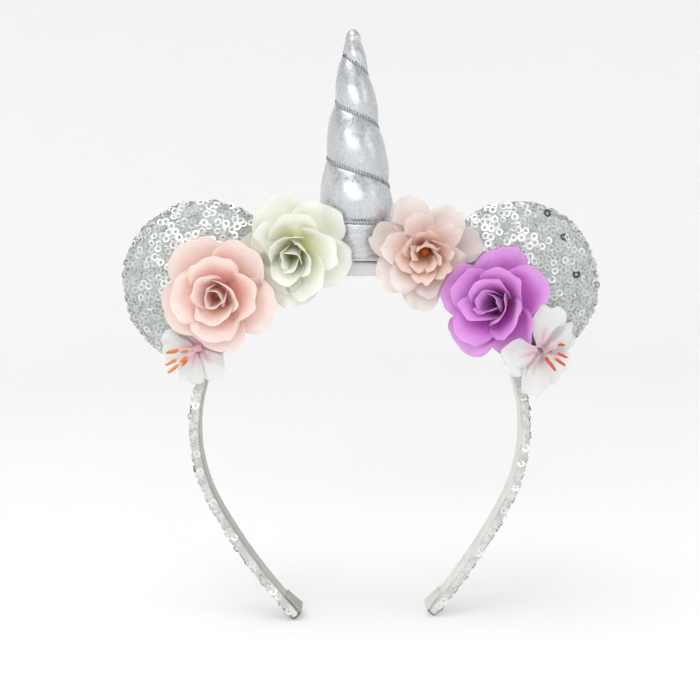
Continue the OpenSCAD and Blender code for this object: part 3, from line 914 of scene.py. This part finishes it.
def ear_sequins(side_name, face_name, face, centre, turn, rng):
    """Ring sequins close together over one panel, and a fringe of them along its seam."""
    pitch = 2.85
    steps = int(EAR_R / pitch) + 2
    i, j = np.meshgrid(np.arange(-steps, steps + 1), np.arange(-steps, steps + 1))
    x = (i + 0.5 * (j % 2)).ravel() * pitch
    y = (j * math.sqrt(3) / 2).ravel() * pitch
    x, y = x + rng.normal(0, 0.42, len(x)), y + rng.normal(0, 0.42, len(y))
    angle = np.arctan2(y, x)
    limit, on_band = ear_limit(angle)
    q = np.hypot(x, y) / limit
    keep = q < np.where(on_band, 0.955, 0.965)
    q, angle = q[keep], angle[keep]
    fringe = 76
    rim = np.linspace(-math.pi, math.pi, fringe, endpoint=False) + rng.normal(0, 0.02, fringe)
    rim = rim[~ear_limit(rim)[1]]
    q = np.concatenate([q, np.full(len(rim), 0.985) + rng.normal(0, 0.006, len(rim))])
    angle = np.concatenate([angle, rim])

    def at(q, angle):
        return ear_to_row(centre, turn, *ear_surface(np.clip(q, 0, 1), angle, face), face)

    step = 0.02
    here = at(q, angle)
    normal = np.cross(at(q - step, angle) - here, at(q, angle + step) - here)
    normal /= np.maximum(np.linalg.norm(normal, axis=1)[:, None], 1e-9)
    normal *= np.where(normal[:, 1] * face < 0, -1, 1)[:, None]
    # Over the upper part more rings get a bright tone: a painted highlight where the light from above falls.
    upper = np.clip((here[:, 2] - centre[1] - 6) / 10, 0, 1)
    bright, lift = 0.06 + 0.36 * upper, 0.16
    name = f"{side_name}_ear_{face_name}_sequins"
    rings = sequins(name, here + lift * normal, normal, rng, tilt=8, dark=0.005, bright=bright)
    declare(rings, "crown", FILM, "ear_sequin_fabric")


# ---- flowers

# How far each flower's stem leans before its petals start, to the right and up across its axis
LEAN = {
    "pink_rose": (0.2, 4.1),
    "ivory_rose": (-1.6, 5.0),
    "peach_flower": (-1.0, 4.8),
    "purple_rose": (0.3, 2.8),
    "left_blossom": (2.5, 5.0),
    "right_blossom": (1.0, 5.2),
}


def flower_frame(name):
    """(the seat of a flower's petals, its axis, and two directions across it)."""
    node, row = (f"{name}_stamens", 0) if name.endswith("blossom") else (f"{name}_inner_petals", 2)
    points = cad_points(node)
    centre = points.mean(0)
    axis = np.linalg.svd(points - centre, full_matrices=False)[2][row]
    axis = axis if axis[1] < 0 else -axis
    right = np.cross([0, 0, 1.0], axis)
    right /= np.linalg.norm(right)
    up = np.cross(axis, right)
    seat = centre + axis * ((points - centre) @ axis).min() + LEAN[name][0] * right + LEAN[name][1] * up
    return seat, axis, right, up


def clear_of_horn(points):
    """Presses petals that would enter the horn against its front."""
    x, y, z = points.T
    reach = horn_radius(np.clip(z, HORN_BASE, HORN_SWELL)) + CORD_D + 1.2
    front = np.sqrt(np.maximum(reach**2 - (x - HORN_X) ** 2, 0))
    return np.stack([x, np.where(front > 0, np.minimum(y, -front), y), z], axis=-1)


# The outer layer of a rose as a shallow bowl: (height of its middle, rise to its edge, radius)
ROSE_BOWL = {"pink_rose": (-2.4, 3.2, 23.5), "purple_rose": (-2.2, 4.2, 23.0)}
# Each layer is turned against the one outside it, so that its petals lie between the others
LAYER_TURN = 0.62


def beside_rose(points, rose_name, side, gap):
    """Keeps petals over (side 1) or under (side -1) the outer layer of the rose next to them."""
    seat, axis, right, up = flower_frame(rose_name)
    middle, rise, radius = ROSE_BOWL[rose_name]
    away = points - seat
    height, r = away @ axis, np.hypot(away @ right, away @ up)
    bowl = middle + rise * np.minimum(r / radius, 1) ** 2 + side * gap
    free = np.maximum(r - radius, 0) * 1.6
    push = np.maximum(side * (bowl - height) - free, 0) * side
    return points + push[:, None] * axis


def petal_half_width(v, power):
    """A petal's half width, as a share: a narrow base that opens to a broad shoulder."""
    return 0.24 + 0.76 * np.sin(np.pi / 2 * np.clip(v / 0.66, 0, 1)) ** power


def petal(name, place, turn, p, rng):
    """One petal. p gives its length and width, start (distance from the axis), seat (height), lift of its
    base and tip, curl of its lip, cup (radius that it is bent to), wave, notch and one side's overlap."""
    seat, axis, right, up, drift = place
    length = p["length"] * rng.uniform(0.95, 1.05)
    width = p["width"] * rng.uniform(0.94, 1.06)
    cup = p["cup"] * rng.uniform(0.9, 1.15)
    lift0 = math.radians(p["lift"][0] + rng.normal(0, 4))
    lift1 = math.radians(p["lift"][1] + rng.normal(0, 7))
    curl = math.radians(p["curl"] * rng.uniform(0.6, 1.3))
    wave = p["wave"] * rng.uniform(0.5, 1.4)
    phase = rng.uniform(0, 2 * math.pi, 3)
    notch = p.get("notch", 0.0)
    overlap = p.get("overlap", 0.8)
    lean = rng.normal(0, 0.09)
    samples = np.linspace(0, 1, 80)
    lip = np.clip((samples - 0.62) / 0.38, 0, 1)
    lifts = lift0 + (lift1 - lift0) * samples**1.2 - curl * lip**1.6
    step = length * (samples[1] - samples[0])
    out = p["start"] + np.concatenate([[0], np.cumsum(np.cos(lifts[:-1]) * step)])
    rise = p["seat"] + np.concatenate([[0], np.cumsum(np.sin(lifts[:-1]) * step)])

    def shape(u, v):
        # The tip's edge is an arc from one shoulder to the other
        drop = 0.42 * (1 - np.sqrt(1 - 0.97 * u**2)) + notch * np.exp(-((u / 0.16) ** 2))
        drop = drop + 0.022 * np.sin(6.5 * u + phase[0]) + 0.014 * np.sin(13 * u + phase[1])
        w = v - v**2 * drop
        aside = u * petal_half_width(v, p.get("spoon", 0.9)) * width / 2
        mid_out, mid_rise, mid_lift = (np.interp(w, samples, a) for a in (out, rise, lifts))
        bend = aside / cup
        lateral = cup * np.sin(bend)
        inward = cup * (1 - np.cos(bend))
        rim = np.clip((np.hypot(u, np.maximum(v - 0.45, 0) / 0.55) - 0.72) / 0.28, 0, 1.4)
        side = np.abs(u) ** 2 * rim**1.5 * np.clip(v * 2 - 0.4, 0, 1)
        inward = inward - side * math.degrees(curl) * 0.03 * (1 + 0.4 * np.sin(3 * v + phase[0]))
        sway = 0.6 * np.sin(2.2 * u + phase[1]) + 0.4 * np.sin(4.7 * u + 3 * v + phase[2])
        inward = inward + wave * v**2 * sway
        # The lip ruffles a little where the hot iron let go
        inward = inward + 0.34 * wave * v**5 * np.sin(8.5 * u + phase[0])
        inward = inward + 0.18 * wave * v**3 * np.sin(5 * v - 6 * u + phase[2])
        inward = inward + overlap * u * np.minimum(v * 2, 1)
        radial = mid_out - np.sin(mid_lift) * inward
        height = mid_rise + np.cos(mid_lift) * inward
        spin = turn + lean * v
        x = radial * math.cos(turn) - lateral * np.sin(spin) + drift[0] * height
        y = radial * math.sin(turn) + lateral * np.cos(spin) + drift[1] * height
        points = seat + x[:, None] * right + y[:, None] * up + height[:, None] * axis
        if "beside" in p:
            points = beside_rose(points, *p["beside"])
        return clear_of_horn(points)

    return thicken(cloth_grid(name, 16, 14, shape), p.get("thick", 0.2))


def petal_layer(flower, prefix, place, count, p, rng, first, spread, finish, slot):
    """A layer of petals round the axis, joined into one piece as they are stamped."""
    petals = []
    for i in range(count):
        turn = first + spread * 2 * math.pi * (i + rng.normal(0, 0.06)) / count
        petals.append(petal(f"{prefix}_{i}", place, turn, p, rng))
    layer = join(f"{prefix}_layer", petals)
    modify(layer, "SUBSURF", levels=1, render_levels=1)
    node = f"{prefix}_petals"
    declare(smooth(layer), "crown", finish, slot, *([node] if node in frame["nodes"] else []))


def rose(name, finish, seed, first, drift, core, layers):
    """A rose of stamped layers. first is the turn of its first petal. drift is how far the bud stands to the
    right and up of the outer layer's middle, for each millimetre of height. core is its radius and height."""
    rng = np.random.default_rng(seed)
    place = (*flower_frame(name), drift)
    slot = name.split("_")[0] + "_petal_fabric"
    for i, (layer, count, sizes, more) in enumerate(layers):
        p = dict(zip(PETAL, sizes), **more)
        turn = first + i * LAYER_TURN
        petal_layer(name, f"{name}_{layer}", place, count, p, rng, turn, 1.0, p.get("cloth", finish), slot)
    flower_stem(name, place, *core)


def flower_stem(name, place, core_r, core_top):
    """The moulded stem: a glued foot, a neck that leans to the petals, and a core that carries the bud."""
    seat, axis, right, up, drift = place
    moulding = cad_points(f"{name}_stem") - seat
    foot, foot_top = (moulding @ axis).min(), (moulding @ axis).min() + 2.6
    across = moulding - (moulding @ axis)[:, None] * axis
    lean = LEAN[name][0] * right + LEAN[name][1] * up
    foot_r = np.linalg.norm(across + lean, axis=1).max()
    height = [foot, foot + 0.1, foot_top, foot_top + 0.2, *np.linspace(foot_top + 0.6, core_top, 26)]
    height = np.array(height)
    bend = np.clip(height, -3.0, None)[:, None] * (drift[0] * right + drift[1] * up)
    upright = np.clip((height - foot_top) / (-1.0 - foot_top), 0, 1)
    path = seat + height[:, None] * axis + bend - (1 - upright)[:, None] * lean

    def radius(i, angles):
        h = height[i]
        core = core_r * math.sqrt(max(0.0, 1 - ((h - core_top + 3.5) / 3.6) ** 2))
        neck = 1.4 if foot + 0.05 < h < core_top - 3.5 else 0.3
        return np.full(len(angles), foot_r if foot + 0.05 < h < foot_top + 0.1 else max(neck, core))

    stem = smooth(swept_tube(f"{name}_moulded_stem", path, radius, 20), 40)
    declare(stem, "crown", STEM_PLASTIC[name], "stem_plastic", f"{name}_stem")


# The sizes of a layer's petals, in the order of the table below, which goes from the outermost layer in
PETAL = ("length", "width", "start", "seat", "lift", "curl", "cup", "wave")
PINK_OVER, PURPLE_OVER = ("pink_rose", -1), ("purple_rose", -1)
THIN = {"notch": 0.05, "thick": 0.18}
ROSES = {
    "pink_rose": (PINK, 5, 0.95, (0.02, -0.04), (1.3, 4.0), [
        ("outer", 5, (19.6, 23.5, 2.5, -1.0, (2, 30), 26, 18, 1.1), {}),
        ("middle", 4, (17, 22, 2.0, -0.6, (26, 60), 36, 12, 1.1), {}),
        ("inner", 3, (14, 18, 1.8, 0.2, (52, 82), 44, 7.4, 0.9), {"overlap": 1.5}),
        ("bud", 3, (11.5, 12.5, 1.6, 1.2, (72, 96), 34, 3.9, 0.6), {"overlap": 1.7}),
    ]),
    "ivory_rose": (IVORY, 9, 0.9, (-0.05, -0.55), (1.3, 4.0), [
        ("outer", 5, (19, 22.5, 2.5, -3.2, (0, 26), 24, 17, 0.9), {"beside": (*PINK_OVER, 2.4)}),
        ("middle", 5, (17.5, 20.5, 2.0, -1.4, (26, 58), 30, 11.5, 0.9), {"beside": (*PINK_OVER, 1.4)}),
        ("inner", 3, (15, 18, 1.8, -0.2, (54, 84), 40, 6.8, 0.8), {"overlap": 1.4}),
        ("bud", 3, (12.5, 12.5, 1.6, 0.8, (74, 98), 30, 3.8, 0.6), {"overlap": 1.7}),
    ]),
    "purple_rose": (PURPLE, 13, 0.2, (-0.75, 0.16), (1.3, 4.0), [
        ("outer", 5, (19, 22, 2.5, -0.8, (4, 36), 36, 12.5, 1.2), {}),
        ("middle", 4, (16.5, 20, 2.0, -0.4, (28, 64), 42, 9.5, 1.1), {}),
        ("inner", 3, (13.5, 17, 1.8, 0.4, (54, 84), 46, 6.6, 0.9), {"overlap": 1.5}),
        ("bud", 3, (10.5, 12, 1.6, 1.4, (70, 95), 36, 3.8, 0.6), {"overlap": 1.7}),
    ]),
    "peach_flower": (PEACH, 21, 0.1, (-0.2, -0.55), (2.4, 2.0), [
        ("outer", 7, (20.6, 15.2, 2.0, -3.2, (-2, 22), 14, 15, 1.3), {"beside": (*PURPLE_OVER, 2.4), **THIN}),
        ("middle", 6, (17, 13.5, 1.8, -1.4, (18, 46), 16, 9, 1.4), {"beside": (*PURPLE_OVER, 1.4), **THIN}),
        ("inner", 6, (12.5, 11, 1.6, -0.4, (34, 66), 14, 6, 1.0), {"cloth": PEACH_INNER, **THIN}),
        ("crown", 6, (8.5, 7.0, 2.8, 0.6, (78, 74), 60, 3.4, 0.4), {"cloth": PEACH_INNER}),
    ]),
}


def stamens(name, thread, slot, seed, count, aim):
    """Waxed threads bent towards aim, degrees from the right, each ending in a longer, thicker anther."""
    rng = np.random.default_rng(seed)
    seat, axis, right, up = flower_frame(name)
    droop = math.cos(math.radians(aim)) * right + math.sin(math.radians(aim)) * up
    along = np.linspace(0, 1, 14)
    anther, sides = 0.66, 8
    made = []
    for i in range(count):
        spin = 2 * math.pi * (i + rng.normal(0, 0.15)) / count
        fan = math.radians(rng.uniform(10, 30))
        aside = math.cos(spin) * right + math.sin(spin) * up
        reach = rng.uniform(8.5, 12.5)
        path = (
            seat
            + axis * (reach * along * math.cos(fan))[:, None]
            + aside * (reach * math.sin(fan) * along**1.4 + 0.5)[:, None]
            + droop * (rng.uniform(2.5, 6.0) * along**2)[:, None]
        )

        def radius(k, angles):
            share = along[k]
            swell = np.clip((share - anther) / 0.08, 0, 1)
            swell = swell * np.sqrt(np.clip((1.02 - share) / 0.12, 0, 1))
            return np.full(len(angles), 0.13 + 0.5 * swell)

        made.append(swept_tube(f"{name}_stamen_{i}", path, radius, sides))
    tuft = smooth(join(f"{name}_tuft", made))
    dipped = np.clip((along - anther) / 0.08, 0, 1)
    point_values(tuft, "dipped", np.tile(np.repeat(dipped, sides), count))
    declare(tuft, "crown", thread, slot, f"{name}_stamens")


def blossom(name, thread, slot, seed, first, spread, aim, length, beside):
    """A five-petalled blossom, over or under the rose beside it. aim is where its stamens bend to."""
    place = (*flower_frame(name), (0, 0))
    sizes = (length, 0.94 * length, 1.0, 0.6, (4, 16), 20, 12, 1.2)
    p = dict(zip(PETAL, sizes), notch=0.07, overlap=0.5, spoon=1.5, beside=beside)
    finish = (BLOSSOM, "blossom_petal_fabric")
    petal_layer(name, name, place, 5, p, np.random.default_rng(seed), first, spread, *finish)
    flower_stem(name, place, 1.4, 2.2)
    stamens(name, thread, slot, seed + 1, 7, aim)


# ---- everything put together

for side in SIDES:
    band_cover(side)
    band_lining(side)
    band_sequins(side)
    tip_fold(side)
    ear(side)
for core in ("left_leg_core", "right_leg_core", "band_core_crown"):
    paint(frame["nodes"][core], BAND_PLASTIC)
backing_strip()
horn()
horn_cord()
base_pad()
for name, settings in ROSES.items():
    rose(name, *settings)
left_thread, right_thread = (ORANGE_THREAD, "orange_stamens"), (RED_THREAD, "red_stamens")
blossom("left_blossom", *left_thread, 41, 0.44, 1.0, 200, 13.8, ("pink_rose", -1, 1.2))
blossom("right_blossom", *right_thread, 47, 3.45, 0.84, -45, 17.2, ("purple_rose", 1, 5.6))

# ---- stage, light and camera


def backdrop_paper(add, place):
    """Matt white paper that gives back a little of the light around it, so that it shows no grain."""
    glow = {"Emission Color": (1, 1, 1, 1), "Emission Strength": 0.08}
    return {"Base Color": "#fafafa", "Roughness": 0.9, **glow}


def floor():
    """A pale floor that curves up all round, like a light tent without a roof."""
    low = cad_box[0][2] / MM - 0.4
    level, edge, rise = 700, 2300, 1500

    def shape(u, v):
        q, angle = square_to_disc(u, v)
        r = edge * q
        z = low + np.clip(r - level, 0, None) ** 2 / rise
        return np.stack([r * np.cos(angle), r * np.sin(angle), z], axis=-1)

    made = smooth(cloth_grid("floor", 60, 60, shape))
    made.data.materials.append(material("floor_paper_white", backdrop_paper))


LIGHT_AIM = Vector((0, 0, 0.03))


def softbox(name, place, width, height, brightness):
    """An evenly bright panel that faces the object. Its power follows from its size."""
    light = bpy.data.lights.new(name, "AREA")
    light.shape = "RECTANGLE"
    light.size, light.size_y = width, height
    light.energy = brightness * math.pi * width * height
    obj = bpy.data.objects.new(name, light)
    bpy.context.scene.collection.objects.link(obj)
    obj.location = place
    obj.rotation_mode = "QUATERNION"
    obj.rotation_quaternion = (LIGHT_AIM - Vector(place)).to_track_quat("-Z", "Y")


def lights():
    softbox("key", (-0.3, -1.6, 0.62), 1.5, 0.9, 3.1)
    softbox("top", (-0.3, -0.35, 1.6), 1.2, 1.0, 2.4)
    softbox("side", (1.5, -0.8, 0.75), 0.6, 1.0, 1.2)
    world = bpy.data.worlds.new("studio_white")
    world.use_nodes = True
    background = world.node_tree.nodes["Background"]
    background.inputs["Color"].default_value = (1, 1, 1, 1)
    background.inputs["Strength"].default_value = 0.5
    bpy.context.scene.world = world
    bpy.context.scene.view_settings.view_transform = "Standard"


CAMERA_AIM = Vector((-3.2, 0, 30.9)) * MM
CAMERA_AWAY = 450 * MM
CAMERA_ELEVATION = math.radians(7)
CAMERA_ROLL = math.radians(-1.27)
CAMERA_FIELD = 269 * MM


def camera():
    data = bpy.data.cameras.new("camera")
    obj = bpy.data.objects.new("camera", data)
    bpy.context.scene.collection.objects.link(obj)
    back = Vector((0, -math.cos(CAMERA_ELEVATION), math.sin(CAMERA_ELEVATION)))
    obj.location = CAMERA_AIM + back * CAMERA_AWAY
    obj.rotation_euler = (-back).to_track_quat("-Z", "Y").to_matrix().to_4x4().to_euler()
    obj.rotation_euler.rotate_axis("Z", CAMERA_ROLL)
    data.sensor_width = 36.0
    data.lens = 36.0 * CAMERA_AWAY / CAMERA_FIELD
    data.clip_start, data.clip_end = 0.01, 20
    bpy.context.scene.camera = obj


floor()
lights()
camera()
